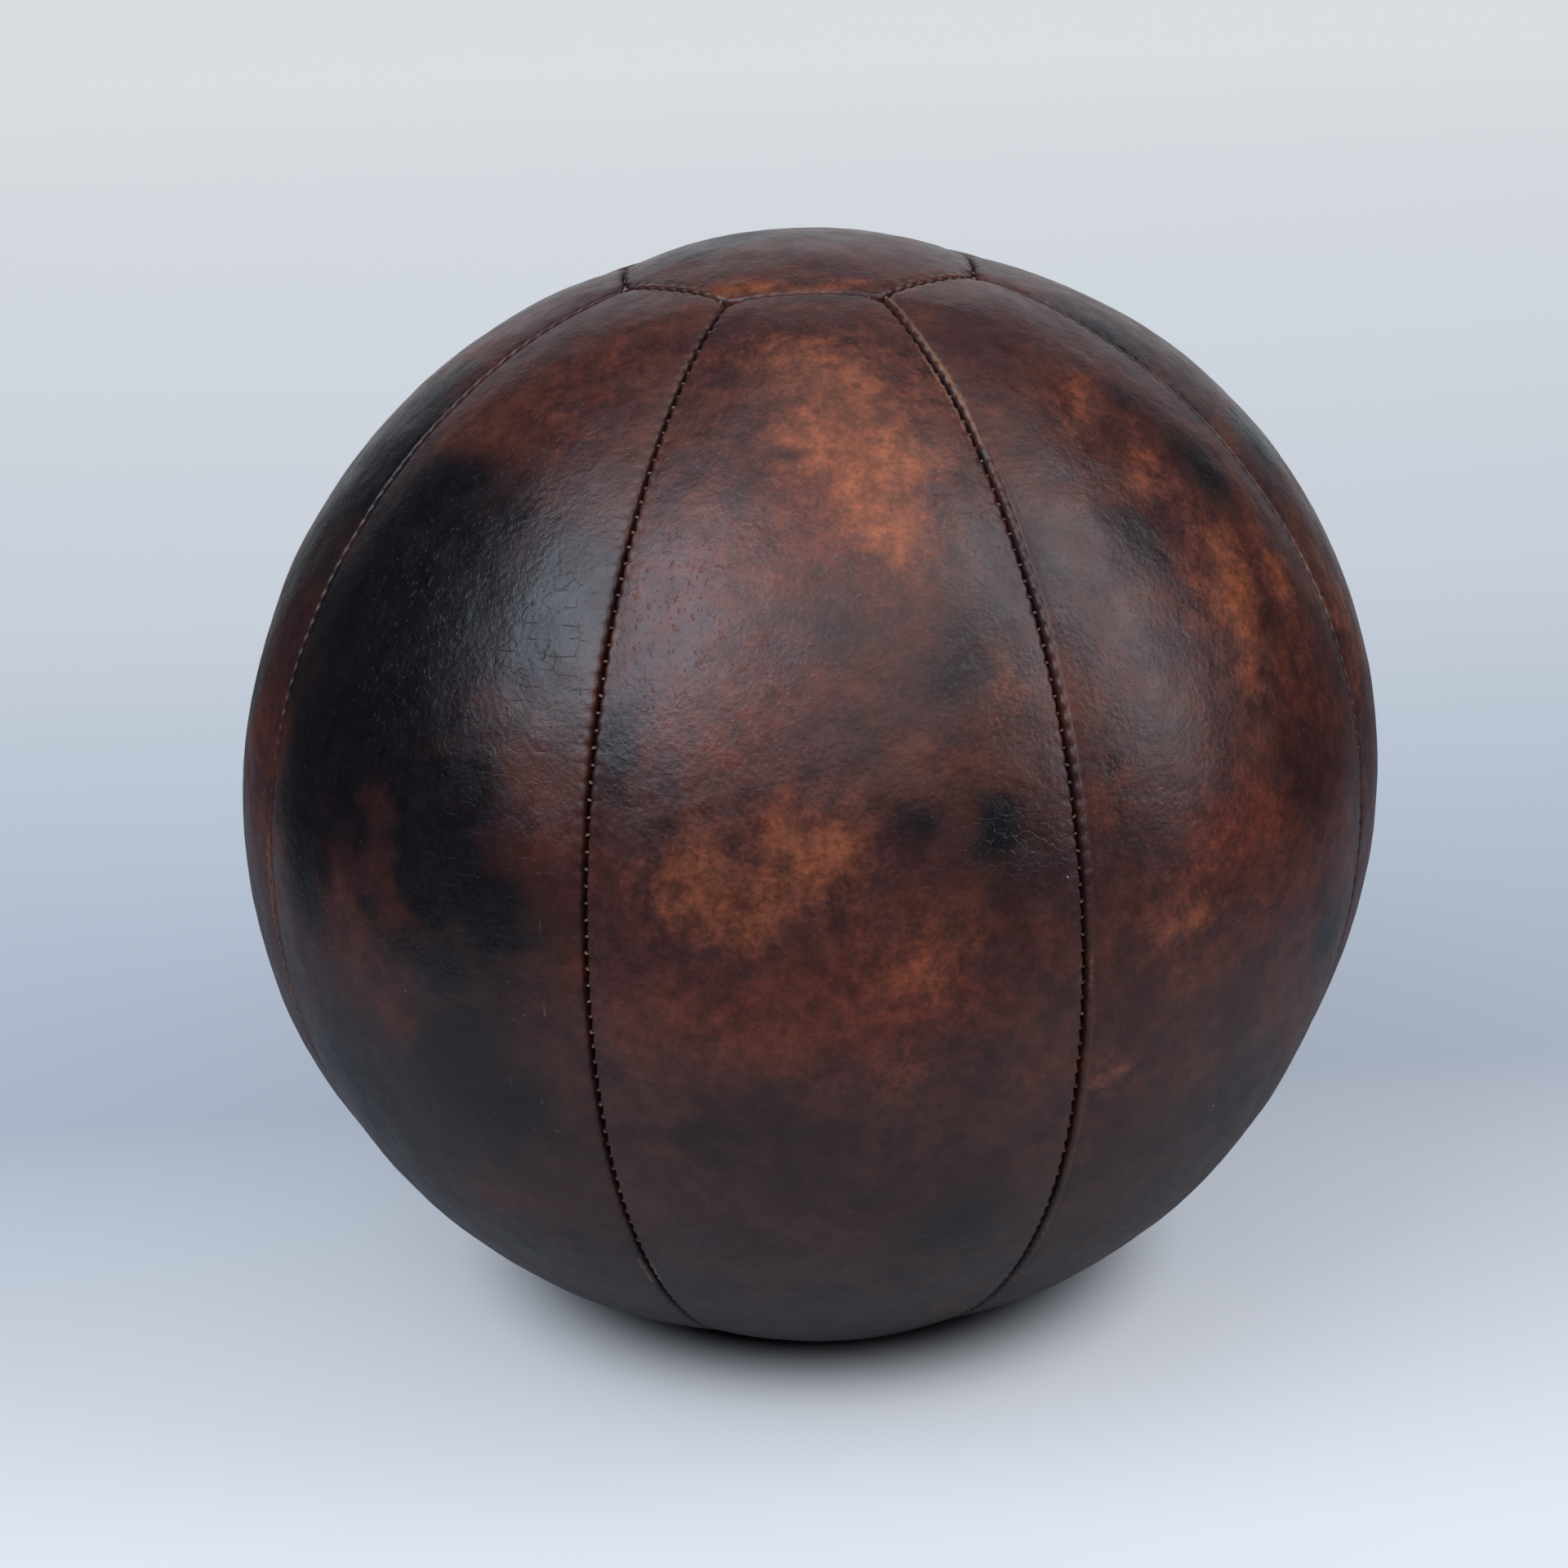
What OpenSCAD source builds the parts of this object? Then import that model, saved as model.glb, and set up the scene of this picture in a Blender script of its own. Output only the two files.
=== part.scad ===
/* [Ball] */
// Outer diameter of the ball
ball_d = 300; // [270:10:340]
// Diameter of the flat patch that the ball's own weight presses into its underside
rest_patch_d = 70; // [50:5:90]

/* [Leather cover] */
// Angle between the ball's axis and each corner of the two end caps
cap_corner_angle = 19; // [17:1:22]
// Thickness of the leather
leather_t = 2.5; // [2:0.25:3]
// Depth of the leather edges that are turned inwards and sewn together
flange_depth = 10; // [9:0.5:12]
// Width of the clear line between two panels
seam_gap = 0.3; // [0.2:0.1:0.6]
// How far the turned edge of a long seam is rounded back
edge_round = 2; // [1.6:0.2:2.4]

/* [Canvas lining] */
// Thickness of the canvas that backs each panel
lining_t = 1; // [0.6:0.2:1.2]

/* [Stitching] */
// Diameter of the waxed thread
thread_d = 1; // [0.8:0.1:1.2]
// Distance from one stitch to the next
stitch_pitch = 4; // [3.5:0.5:6]
// Depth of the stitches below the ball's surface
stitch_depth = 5; // [5:0.25:6.5]

/* [Filling] */
// Diameter of the wound rag core
core_d = 140; // [100:10:180]

/* [Hidden] */
gore_count = 8;
$fn = 96;

leather_brown = [0.36, 0.19, 0.14];
canvas_grey = [0.66, 0.62, 0.54];
thread_tan = [0.76, 0.68, 0.53];
stuffing_brown = [0.42, 0.34, 0.26];
rag_cream = [0.72, 0.68, 0.6];

ball_r = ball_d / 2;
rest_r = rest_patch_d / 2;
// The ball stands on z = 0, so its middle is this high.
centre_z = sqrt(ball_r * ball_r - rest_r * rest_r);

// One gore spans this much of a turn, and half of it lies on each side of its middle line.
gore_angle = 360 / gore_count;
half_gore = gore_angle / 2;
// Every seam lies in a plane through the ball's middle. This is the tilt of a cap's side planes.
cap_side_angle = atan(tan(cap_corner_angle) * cos(half_gore));
// Half of the arc that one side of a cap covers, and half of the arc of a long seam.
half_cap_side = asin(sin(cap_corner_angle) * sin(half_gore));
half_long_seam = 90 - cap_corner_angle;

// Clearance between the leather, the canvas, the thread and the stuffing
play = 0.1;
// How far each piece's edge stands from the middle plane of a seam, from the leather inwards
leather_inset = seam_gap / 2;
lining_inset = leather_inset + leather_t + play / 2;
run_inset = lining_inset + lining_t + play / 2 + thread_d / 2;
stuffing_inset = run_inset + thread_d / 2 + play;
// Depth of each piece's outer face below the ball's surface
lining_depth = leather_t + play / 2;
stuffing_depth = lining_depth + lining_t + play / 2;

// The short seams of the caps are rounded a little more, so no two bevels end at one point.
short_edge_round = edge_round + 0.3;

// Stitches are set out from the middle of each seam and stop this far short of its corners.
corner_clear = 5;
stitch_r = ball_r - stitch_depth;
stitch_step = stitch_pitch / stitch_r * 180 / PI;
corner_margin = corner_clear / ball_r * 180 / PI;
// A stitch goes straight through both flanges, and is a little thinner than the runs beside them.
bar_d = 0.8 * thread_d;
hole_d = thread_d;
hole_length = 2 * run_inset + 2 * thread_d;

// A name for each gore, such as gore_panel_1.
function numbered(name) = [for (i = [1 : gore_count]) str(name, i)];
// Gore 1 faces -Y, and the rest follow counter-clockwise as seen from above.
function gore_turn(i) = -90 + (i - 1) * gore_angle;
function stitches_in(half_arc) = floor(2 * (half_arc - corner_margin) / stitch_step) + 1;

// ---- Spaces that the panels are cut from ----

// The ball, all its surface moved in by a depth, flat where it rests.
module ball(depth) {
  intersection() {
    translate([0, 0, centre_z]) sphere(ball_r - depth);
    translate([-ball_r, -ball_r, depth]) cube(2 * ball_r);
  }
}

// Everything on the +X side of the YZ plane, moved in by an inset.
module half_space(inset) {
  translate([inset, -ball_d, -ball_d]) cube(2 * ball_d);
}

// Puts a piece that stands on the YZ plane on a gore's long seam plane, on the gore's own side.
module on_gore_side(side) {
  translate([0, 0, centre_z]) rotate([0, 0, side * (half_gore - 90)]) children();
}

// Puts it on a cap's side plane, on the gore's side (end is 1 at the top cap, -1 at the bottom).
module under_cap(end) {
  translate([0, 0, centre_z]) rotate([0, end * cap_side_angle, 0]) children();
}

// Puts it on one of a cap's eight side planes, on the cap's side.
module inside_cap(end, side) {
  translate([0, 0, centre_z]) rotate([0, 0, side * gore_angle])
    rotate([0, end * cap_side_angle + 180, 0]) children();
}

// The space of one gore around +X, its four sides moved in by an inset.
module gore_space(inset) {
  intersection() {
    on_gore_side(1) half_space(inset);
    on_gore_side(-1) half_space(inset);
    under_cap(1) half_space(inset);
    under_cap(-1) half_space(inset);
  }
}

// The space of an end cap, its eight sides moved in by an inset.
module cap_space(end, inset) {
  intersection_for (side = [1 : gore_count]) inside_cap(end, side) half_space(inset);
}

// What lies deeper than the turned-in edges.
module middle(inset = 0) {
  translate([0, 0, centre_z]) sphere(ball_r - flange_depth - inset);
}

// ---- Seams ----

// A ring that bevels a panel's outer edge in two steps. Both ends of its slope run past the panel.
module edge_bevel(size) {
  bend = [ball_r - 0.3 * size, leather_inset + 0.3 * size];
  low = [ball_r - size, leather_inset];
  high = [ball_r, leather_inset + 1.2 * size];
  below = low + 0.6 * (low - bend);
  above = high + 0.6 * (high - bend);
  rotate([0, 90, 0]) rotate_extrude()
    polygon([below, [ball_r + size, below.y], [ball_r + size, above.y], above, bend]);
}

// Frames whose +X points at the middle of a seam and whose XZ plane is the seam's own plane.
module at_long_seam(side) {
  translate([0, 0, centre_z]) rotate([0, 0, side * half_gore]) children();
}

module at_cap_seam(end, side) {
  translate([0, 0, centre_z]) rotate([0, 0, side * gore_angle])
    rotate([0, end * (cap_side_angle - 90), 0]) rotate([90, 0, 0]) children();
}

// One straight piece at every stitch of a seam, square to the seam's plane.
module at_stitches(half_arc, diameter, length) {
  stitches = stitches_in(half_arc);
  for (k = [0 : stitches - 1])
    rotate([0, (k - (stitches - 1) / 2) * stitch_step, 0]) translate([stitch_r, 0, 0])
      rotate([90, 0, 0]) cylinder(d = diameter, h = length, center = true, $fn = 24);
}

module stitch_holes(half_arc) {
  at_stitches(half_arc, hole_d, hole_length);
}

// The lockstitch of one seam: a run of flat thread along each side, joined through every hole.
module stitching(half_arc) {
  run_half_arc = (stitches_in(half_arc) / 2) * stitch_step;
  at_stitches(half_arc, bar_d, 2 * run_inset);
  for (side = [-1, 1])
    translate([0, side * run_inset, 0]) rotate([90, 0, 0]) rotate([0, 0, -run_half_arc])
      rotate_extrude(angle = 2 * run_half_arc) translate([stitch_r, 0]) square(thread_d, center = true);
}

// ---- Panels ----

// A gore around +X: a shell of the ball's curve with its four edges turned in.
module gore_tray(depth, inset, thickness) {
  difference() {
    intersection() {
      ball(depth);
      gore_space(inset);
    }
    intersection() {
      ball(depth + thickness);
      gore_space(inset + thickness);
    }
    middle();
  }
}

module cap_tray(end, depth, inset, thickness) {
  difference() {
    intersection() {
      ball(depth);
      cap_space(end, inset);
    }
    intersection() {
      ball(depth + thickness);
      cap_space(end, inset + thickness);
    }
    middle();
  }
}

module gore_holes() {
  for (side = [-1, 1]) at_long_seam(side) stitch_holes(half_long_seam);
  for (end = [-1, 1]) at_cap_seam(end, 0) stitch_holes(half_cap_side);
}

module cap_holes(end) {
  for (side = [1 : gore_count]) at_cap_seam(end, side) stitch_holes(half_cap_side);
}

// ---- The ball's pieces ----

module gore_panel(i) {
  color(leather_brown) rotate([0, 0, gore_turn(i)]) difference() {
    gore_tray(0, leather_inset, leather_t);
    for (side = [-1, 1]) on_gore_side(side) edge_bevel(edge_round);
    for (end = [-1, 1]) under_cap(end) edge_bevel(short_edge_round);
    gore_holes();
  }
}

module cap_panel(end) {
  color(leather_brown) difference() {
    cap_tray(end, 0, leather_inset, leather_t);
    for (side = [1 : gore_count]) inside_cap(end, side)
      edge_bevel(side % 2 == 0 ? edge_round : short_edge_round);
    cap_holes(end);
  }
}

module gore_lining(i) {
  color(canvas_grey) rotate([0, 0, gore_turn(i)]) difference() {
    gore_tray(lining_depth, lining_inset, lining_t);
    gore_holes();
  }
}

module cap_lining(end) {
  color(canvas_grey) difference() {
    cap_tray(end, lining_depth, lining_inset, lining_t);
    cap_holes(end);
  }
}

// The long seam on the counter-clockwise side of a gore.
module gore_seam_thread(i) {
  color(thread_tan) rotate([0, 0, gore_turn(i)]) at_long_seam(1) stitching(half_long_seam);
}

module cap_thread(end) {
  color(thread_tan) for (side = [1 : gore_count]) at_cap_seam(end, side) stitching(half_cap_side);
}

// Fills the ball between the seams, around the core.
module stuffing() {
  color(stuffing_brown) difference() {
    union() {
      middle(play);
      for (i = [1 : gore_count]) rotate([0, 0, gore_turn(i)]) intersection() {
        ball(stuffing_depth);
        gore_space(stuffing_inset);
      }
      for (end = [-1, 1]) intersection() {
        ball(stuffing_depth);
        cap_space(end, stuffing_inset);
      }
    }
    translate([0, 0, centre_z]) sphere(d = core_d + 2 * play);
  }
}

module rag_core() {
  color(rag_cream) translate([0, 0, centre_z]) sphere(d = core_d);
}

for (i = [1 : gore_count]) {
  gore_panel(i);
  gore_lining(i);
  gore_seam_thread(i);
}
cap_panel(1);  // top_cap_panel
cap_panel(-1);  // bottom_cap_panel
cap_lining(1);  // top_cap_lining
cap_lining(-1);  // bottom_cap_lining
cap_thread(1);  // top_cap_thread
cap_thread(-1);  // bottom_cap_thread
stuffing();
rag_core();
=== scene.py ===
"""Looks of the medicine ball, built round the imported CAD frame.

Blender lengths are metres. The mesh maths is in mm, and turns to metres at its end.
"""

import math

import bpy
import numpy as np
from mathutils import Matrix, Vector


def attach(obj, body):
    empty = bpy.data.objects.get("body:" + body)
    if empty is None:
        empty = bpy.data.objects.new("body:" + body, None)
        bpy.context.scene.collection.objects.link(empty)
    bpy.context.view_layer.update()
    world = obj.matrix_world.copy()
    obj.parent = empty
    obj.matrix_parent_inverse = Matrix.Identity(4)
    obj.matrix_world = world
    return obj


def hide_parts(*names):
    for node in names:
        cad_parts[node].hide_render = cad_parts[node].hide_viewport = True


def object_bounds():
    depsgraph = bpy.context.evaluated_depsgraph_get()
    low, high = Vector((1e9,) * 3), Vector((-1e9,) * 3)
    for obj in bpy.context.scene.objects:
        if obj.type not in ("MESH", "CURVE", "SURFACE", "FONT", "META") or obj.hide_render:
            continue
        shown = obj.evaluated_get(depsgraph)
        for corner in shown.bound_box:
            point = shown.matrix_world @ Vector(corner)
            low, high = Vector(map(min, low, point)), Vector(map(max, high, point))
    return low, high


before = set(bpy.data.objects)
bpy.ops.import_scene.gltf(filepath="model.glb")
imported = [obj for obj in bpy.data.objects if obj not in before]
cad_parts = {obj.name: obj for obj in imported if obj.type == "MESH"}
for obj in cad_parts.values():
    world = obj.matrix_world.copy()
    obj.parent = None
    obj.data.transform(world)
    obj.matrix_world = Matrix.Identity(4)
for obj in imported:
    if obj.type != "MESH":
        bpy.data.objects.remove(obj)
cad_low, cad_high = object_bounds()

# -------- sizes
MM = 0.001
RADIUS = 150.0
CENTRE_Z = cad_high.z / MM - RADIUS
GORES = 8
GORE_TURN = 2 * math.pi / GORES
HALF_GORE = GORE_TURN / 2
FIRST_GORE = -math.pi / 2
# tilt of the planes that a cap's sides lie in, the latitude of its corners, and half of one side in mm
CAP_SIDE = math.radians(17.65)
GORE_END = math.pi / 2 - CAP_SIDE
CORNER_UP = math.radians(71.0)
CAP_HALF_SIDE = 18.75
STITCH_PITCH = 4.0
# the turned-in edges: their depth, and how far their outer and inner faces stand from the seam's middle
FLANGE_DEPTH = 10.0
FLANGE_GAP = 0.15
FLANGE_INNER = 2.6
# the crease narrows to the edges' gap this far below its rim, and at least this deep in the ball
THROAT_DROP = 0.8
THROAT_DEPTH = 3.0
LEATHER_UNDERSIDE = 2.4
FLOOR_SOFTNESS = 0.8

# distances of the mesh lines beside a seam, from the edge of the crease
EDGE_STEPS = np.array([0, 0.15, 0.45, 0.75, 1.15, 1.55, 2.05, 2.65, 3.45, 4.65, 6.15, 8.0])
MIDDLE_COLUMNS = 90
MIDDLE_ROWS = 578
CAP_SAMPLES = 464
CAP_RINGS = 44
# the hidden inner side of the leather has one mesh line for this many of its face's
COARSE = 8
CAP_SHELL_RINGS = 12

# -------- camera
CAMERA_DISTANCE = 0.8056
CAMERA_LONGITUDE = math.radians(-91.85)
CAMERA_ELEVATION = math.radians(19.0)
CAMERA_ROLL = math.radians(1.55)
LENS = 67.5
SENSOR = 36.0
# the ball's middle sits this far right of and above the picture's middle, in picture widths
BALL_RIGHT = 0.01745
BALL_UP = 0.00104

ball_centre = Vector((0, 0, CENTRE_Z * MM))
back = Vector((math.cos(CAMERA_ELEVATION) * math.cos(CAMERA_LONGITUDE),
               math.cos(CAMERA_ELEVATION) * math.sin(CAMERA_LONGITUDE),
               math.sin(CAMERA_ELEVATION)))
level = (-back).cross(Vector((0, 0, 1))).normalized()
upright = level.cross(-back)
cam_up = upright * math.cos(CAMERA_ROLL) + level * math.sin(CAMERA_ROLL)
cam_right = level * math.cos(CAMERA_ROLL) - upright * math.sin(CAMERA_ROLL)
widths_per_tangent = LENS / SENSOR
aim = -back - cam_right * (BALL_RIGHT / widths_per_tangent) - cam_up * (BALL_UP / widths_per_tangent)
aim.normalize()
aim_right = aim.cross(cam_up).normalized()
aim_up = aim_right.cross(aim)

cam_data = bpy.data.cameras.new("camera")
cam_data.lens = LENS
cam_data.sensor_width = SENSOR
cam_data.clip_start = 0.05
cam_data.clip_end = 40.0
camera = bpy.data.objects.new("camera", cam_data)
bpy.context.scene.collection.objects.link(camera)
rotation = Matrix((aim_right, aim_up, -aim)).transposed().to_4x4()
camera.matrix_world = Matrix.Translation(ball_centre + back * CAMERA_DISTANCE) @ rotation
bpy.context.scene.camera = camera
bpy.context.scene.view_settings.view_transform = "Standard"


# -------- noise
# large primes that scatter the bits of a cell's place, of a seed, and of their mix
PLACE_PRIMES = (73856093, 19349663, 83492791)
SEED_PRIME = 2971215073
MIX_PRIMES = ((13, 1274126177), (15, 668265263))
OCTAVE_SHARE = 0.55


def cell_value(cell, seed):
    """A repeatable number from 0 to 1 for each whole-numbered cell."""
    n = seed * SEED_PRIME
    for axis, prime in enumerate(PLACE_PRIMES):
        n = n ^ (cell[..., axis] * prime)
    n = n & 0x7FFFFFFF
    for shift, prime in MIX_PRIMES:
        n = ((n ^ (n >> shift)) * prime) & 0x7FFFFFFF
    return ((n ^ (n >> 11)) & 0xFFFF) / 0xFFFF


def value_noise(points, size, seed):
    """Smooth noise from -1 to 1, with features size mm across."""
    p = points / size
    base = np.floor(p)
    f = p - base
    f = f * f * (3 - 2 * f)
    base = base.astype(np.int64)
    total = 0
    for corner in range(8):
        step = np.array([corner & 1, corner >> 1 & 1, corner >> 2 & 1])
        weight = np.prod(np.where(step == 1, f, 1 - f), axis=-1)
        total = total + weight * cell_value(base + step, seed)
    return 2 * total - 1


def fractal(points, size, seed, octaves=4):
    """Several layers of smooth noise, each half as large and just over half as strong as the last."""
    total = 0
    strength = 1.0
    for k in range(octaves):
        total = total + strength * value_noise(points, size / 2 ** k, seed + 17 * k)
        strength *= OCTAVE_SHARE
    return total


def cell_edges(points, size, seed):
    """0 on the lines between random cells size mm across, growing towards 1 in the middle of each."""
    p = points / size
    base = np.floor(p).astype(np.int64)
    first = np.full(p.shape[:-1], 9.0)
    second = np.full(p.shape[:-1], 9.0)
    for k in range(27):
        cell = base + np.array([k % 3 - 1, k // 3 % 3 - 1, k // 9 - 1])
        jitter = np.stack([cell_value(cell, seed + axis) for axis in range(3)], axis=-1)
        d = np.linalg.norm(cell + jitter - p, axis=-1)
        second = np.minimum(second, np.maximum(first, d))
        first = np.minimum(first, d)
    return second - first


def ramp(x, low, high):
    """0 below low, 1 above high, smooth between."""
    x = np.clip((x - low) / (high - low), 0, 1)
    return x * x * (3 - 2 * x)


# -------- seams
ROLL_WIDTH = 0.95
ROLL_DEPTH = 1.25
VALLEY = 0.42
CROWN = 1.1
# height of the ridge along a gore's left side, on gores with even and odd numbers
EVEN_BEAD, ODD_BEAD = 1.0, 0.15


def stitch_pull(along):
    """1 where a stitch pulls the leather in, 0 midway between two stitches."""
    return 0.5 + 0.5 * np.cos(2 * math.pi * along / STITCH_PITCH)


def crease_half_width(along, corner):
    """Half of the open width of a crease, along it, corner mm from its nearest end."""
    reach = np.clip(corner / 150.0, 0, 1)
    return (0.17 + 0.24 * reach + 0.18 * stitch_pull(along)
            + 0.5 * np.exp(-(np.maximum(corner, 0) / 2.5) ** 2))


def seam_dip(s, along, corner, bead):
    """How far the leather's face lies below the ball's, s mm from a seam."""
    s = np.maximum(s, 0)
    edge = crease_half_width(along, corner)
    x = np.clip(1 - (s - edge) / ROLL_WIDTH, 0, 1)
    pull = stitch_pull(along)
    dip = ROLL_DEPTH * (1 - np.sqrt(np.maximum(1 - x * x, 0)))
    dip = dip + VALLEY * np.exp(-s / 4) + 0.55 * pull ** 2 * np.exp(-s / 1.1)
    dip = dip - bead * 0.30 * (1 - 0.6 * pull) * np.exp(-((s - edge - 0.9) / 0.55) ** 2)
    dip = dip + bead * 0.20 * np.exp(-((s - edge - 2.1) / 0.5) ** 2)
    near = np.clip(1 - np.maximum(corner, 0) / 5, 0, 1)
    return dip + 0.9 * near ** 2 * np.exp(-s / 3)


# slow swells and hollows of the whole ball: longitude, latitude, height in mm, reach in degrees
SWELLS = {
    "right_shoulder": (7, 23, 2.2, 30),
    "left_hip": (-173, -21, 2.6, 34),
    "crown_left": (142, 58, -2.4, 34),
    "crown_front": (-80, 80, -1.2, 24),
    "crown_right": (25, 62, -1.4, 22),
    "right_hip": (-14, -32, -1.9, 30),
    "underside": (-80, -66, -1.2, 30),
    "back_right": (60, 5, 1.2, 30),
    "back_left": (120, -15, -1.2, 30),
}
FULLNESS = 0.6


def shape_height(d):
    """Height of the stuffed ball over the true sphere, in mm, in the direction d."""
    total = np.full(d.shape[:-1], FULLNESS)
    for longitude, latitude, height, reach in SWELLS.values():
        lon, lat = math.radians(longitude), math.radians(latitude)
        way = np.array([math.cos(lat) * math.cos(lon), math.cos(lat) * math.sin(lon), math.sin(lat)])
        turn = np.degrees(np.arccos(np.clip(d @ way, -1, 1)))
        total = total + height * np.exp(-(turn / reach) ** 2)
    return total + 0.35 * fractal(d * RADIUS, 45, 5, 3)


# -------- stains
# angle up the panel in degrees, mm across it, half height and half width in mm, strength
MARKS = {
    "gore_panel_1": {
        "tan": [(57, 12, 8, 18, 0.6), (60, -6, 7, 14, 0.3), (47, 12, 12, 13, 0.75), (42, 15, 8, 9, 0.85),
                (51, -3, 9, 12, 0.55), (12, -36, 9, 8, 0.45), (13, -8, 9, 15, 0.65), (8, -23, 8, 12, 0.6),
                (2, 16, 9, 12, 0.45), (-8, 14, 6, 9, 0.3), (27, 42, 5, 4, 0.4), (63, 1, 6, 19, 0.3)],
        "red": [(42, -4, 16, 16, 0.7), (36, -30, 20, 16, 0.5), (25, -20, 9, 20, 0.5), (17, -12, 4, 4, 0.9),
                (-2, 2, 12, 24, 0.6), (-4, -35, 14, 14, 0.4), (-28, -8, 14, 24, 0.3)],
        "soot_and_shade": [(33, 33, 9, 9, 0.45), (28, 25, 8, 10, 0.5), (31, 3, 5, 5, 0.2), (46, -16, 4, 4, 0.5),
                 (48, -7, 2, 5, 0.6), (16, 19, 6, 14, 0.45), (12, 40, 11, 13, 0.65), (22, -50, 16, 7, 0.6),
                 (23, -4, 4, 20, 0.3), (-13, -22, 9, 20, 0.35), (-26, 28, 12, 14, 0.55),
                 (3, -6, 5, 6, 0.3), (61, -20, 7, 7, 0.2)],
    },
    "gore_panel_8": {
        "tan": [(50, 13, 7, 10, 0.25), (53, 1, 5, 9, 0.2)],
        "red": [(60, 4, 11, 14, 0.3), (7, -16, 9, 12, 0.1), (-7, 0, 4, 5, 0.5), (-25, 15, 5, 9, 0.7),
                (23, 28, 3, 3, 0.6), (10, 44, 12, 7, 0.25)],
        "soot_and_shade": [(41, -8, 13, 15, 1.0), (30, -9, 18, 22, 1.0), (19, -18, 15, 17, 1.0),
                 (36, 14, 16, 14, 0.75), (34, 36, 22, 14, 0.6), (6, 20, 16, 18, 0.6),
                 (20, 12, 12, 16, 0.7), (8, -34, 26, 14, 0.85), (30, -38, 26, 14, 0.9),
                 (-12, 26, 22, 20, 0.6), (-16, -20, 24, 26, 0.65), (12, 8, 14, 20, 0.35),
                 (5, 40, 24, 15, 0.5), (-8, 22, 10, 14, 0.5), (62, -14, 8, 9, 0.4)],
    },
    "gore_panel_2": {
        "tan": [(51, -1, 6, 9, 0.6), (42, 3, 7, 7, 0.6), (33, 7, 12, 9, 0.55), (25, 4, 12, 9, 0.5),
                (19, 27, 13, 8, 0.25), (30, 31, 9, 7, 0.6), (3, -33, 6, 9, 0.5), (8, -22, 5, 10, 0.3),
                (-12, -51, 6, 5, 0.35)],
        "red": [(9, -15, 11, 16, 0.6), (16, 14, 10, 16, 0.3), (0, 6, 10, 22, 0.35)],
        "soot_and_shade": [(62, -4, 10, 14, 0.3), (41, 22, 11, 8, 0.8), (49, 12, 6, 8, 0.5), (37, -13, 8, 6, 0.7),
                 (13, 14, 16, 13, 0.45), (-22, -20, 13, 24, 0.35), (38, -38, 14, 10, 0.4),
                 (-6, 34, 9, 12, 0.5), (26, 18, 5, 5, 0.5)],
    },
    "gore_panel_7": {
        "red": [(12, 34, 12, 10, 0.4)],
        "soot_and_shade": [(40, 30, 40, 26, 0.8), (-10, 20, 30, 24, 0.5)],
    },
    "gore_panel_3": {
        "tan": [(20, -40, 16, 10, 0.5)],
        "red": [(-5, -30, 22, 18, 0.5)],
        "soot_and_shade": [(45, -30, 20, 14, 0.4)],
    },
    "top_cap_panel": {
        "tan": [(-16, 0, 4, 26, 0.55)],
        "red": [(-10, 0, 10, 30, 0.3), (4, 22, 14, 12, 0.4)],
        "soot_and_shade": [(-2, -24, 18, 12, 0.4), (10, 6, 12, 16, 0.3)],
    },
}
# a panel with fewer marks of its own than this gets random ones too
FEW_MARKS = 5
RANDOM_MARKS = 22
RANDOM_HALF_WIDTH = 45
KINDS = ("tan", "red", "soot_and_shade")
KIND_SHARES = (0.3, 0.32, 0.38)

# panels with an edge rubbed pale near the top: side, angles up where that starts and is full, how much
RUBBED = {"gore_panel_2": (-1, 34, 56, 0.5), "gore_panel_8": (1, 44, 62, 0.3)}

# leather that has creased into a net: angle up, mm across, half height and half width in mm, strength
WRINKLES = {
    "gore_panel_1": [(12, 40, 9, 14, 1.0), (8, -26, 5, 8, 0.3)],
    "gore_panel_8": [(-20, -20, 20, 24, 0.9)],
    "gore_panel_2": [(-18, 18, 18, 22, 0.9), (8, -24, 8, 14, 0.2)],
    "top_cap_panel": [(-6, -26, 12, 12, 0.8)],
}
# the same for leather that has cracked in squares
CRACKS = {
    "gore_panel_8": [(30, 34, 24, 12, 1.0), (6, 30, 16, 16, 0.6)],
    "gore_panel_1": [(4, 0, 16, 26, 0.25)],
    "gore_panel_2": [(-20, 22, 16, 20, 0.8)],
}
# and for grain that stands up as short pale flecks
FLECKS = {
    "gore_panel_1": [(36, -26, 26, 26, 1.0), (44, 6, 20, 26, 0.5)],
    "gore_panel_8": [(33, -6, 24, 26, 0.6), (20, -14, 16, 16, 0.5)],
    "gore_panel_2": [(30, -26, 18, 22, 0.35)],
}


def marks_of(name, seed):
    """A panel's own marks of each kind, and random ones if it has few or none of its own."""
    marks = {kind: list(MARKS.get(name, {}).get(kind, [])) for kind in KINDS}
    if sum(len(own) for own in marks.values()) < FEW_MARKS:
        rng = np.random.RandomState(seed)
        for _ in range(RANDOM_MARKS):
            kind = KINDS[rng.choice(3, p=KIND_SHARES)]
            marks[kind].append((rng.uniform(-62, 62), rng.uniform(-1, 1) * RANDOM_HALF_WIDTH,
                                rng.uniform(5, 15), rng.uniform(6, 18), rng.uniform(0.35, 0.95)))
    return marks


def spread(u, v, up, across, tall, wide):
    """1 in the middle of a mark, falling away round it."""
    q = ((u - across) / wide) ** 2 + ((v - math.radians(up) * RADIUS) / tall) ** 2
    return np.exp(-q * 0.6)


def layered(mask, strength):
    """A mask with one more layer laid over it."""
    return 1 - (1 - mask) * (1 - np.clip(strength, 0, 1))


def laid_spots(spots, u, v):
    """A mask made of spots, each an angle up, mm across, half height, half width and strength."""
    mask = np.zeros(len(u))
    for up, across, tall, wide, strength in spots:
        mask = layered(mask, strength * spread(u, v, up, across, tall, wide))
    return mask


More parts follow.
